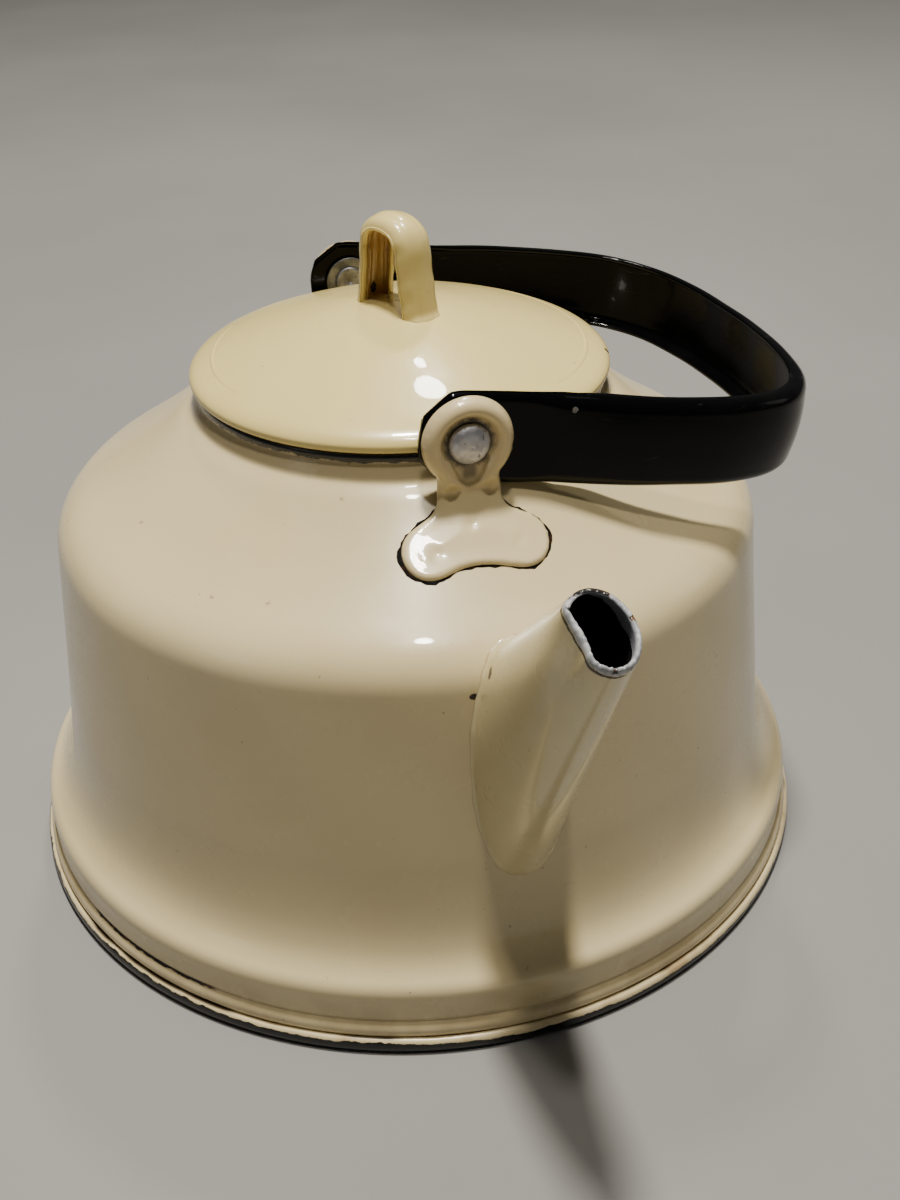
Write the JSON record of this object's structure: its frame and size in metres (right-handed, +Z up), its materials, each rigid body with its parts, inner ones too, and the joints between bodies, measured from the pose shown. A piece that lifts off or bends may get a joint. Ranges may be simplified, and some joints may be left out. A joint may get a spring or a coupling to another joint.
{
  "type": "kettle",
  "caption": "Enamelled stove kettle with flared base, sloping shoulder, straight tapered spout, lift-off lid with loop knob and folding strap handle.",
  "frame": {"origin": "centre of the underside of the bottom pan, on the surface that the kettle stands on", "axes": "+Z up along the kettle's axis, +X towards the spout, which is also the direction of the handle's pivot axis; the handle is folded down towards +Y"},
  "size_m": [0.2683, 0.23, 0.1786],
  "materials": {
    "cream_enamel": "gloss",
    "lid_enamel": "gloss",
    "black_enamel": "gloss",
    "aluminium": "dull, oxidised"
  },
  "bodies": {
    "kettle": {"body_shell": "cream_enamel", "bottom_pan": "black_enamel", "spout": "cream_enamel", "front_ear": "cream_enamel", "rear_ear": "cream_enamel", "front_rivet": "aluminium", "rear_rivet": "aluminium", "front_washer": "aluminium", "rear_washer": "aluminium"},
    "lid": {"lid_shell": "lid_enamel", "lid_skirt": "lid_enamel", "lid_knob": "lid_enamel"},
    "handle": {"handle": "black_enamel"}
  },
  "joints": [
    {"name": "handle_swing", "type": "hinge", "parent": "kettle", "child": "handle", "pos_m": [0, 0, 0.142], "axis": [1, 0, 0], "range_deg": [0, 198]},
    {"name": "lid_lift", "type": "slide", "parent": "kettle", "child": "lid", "axis": [0, 0, 1], "range_m": [0, 0.08]}
  ]
}
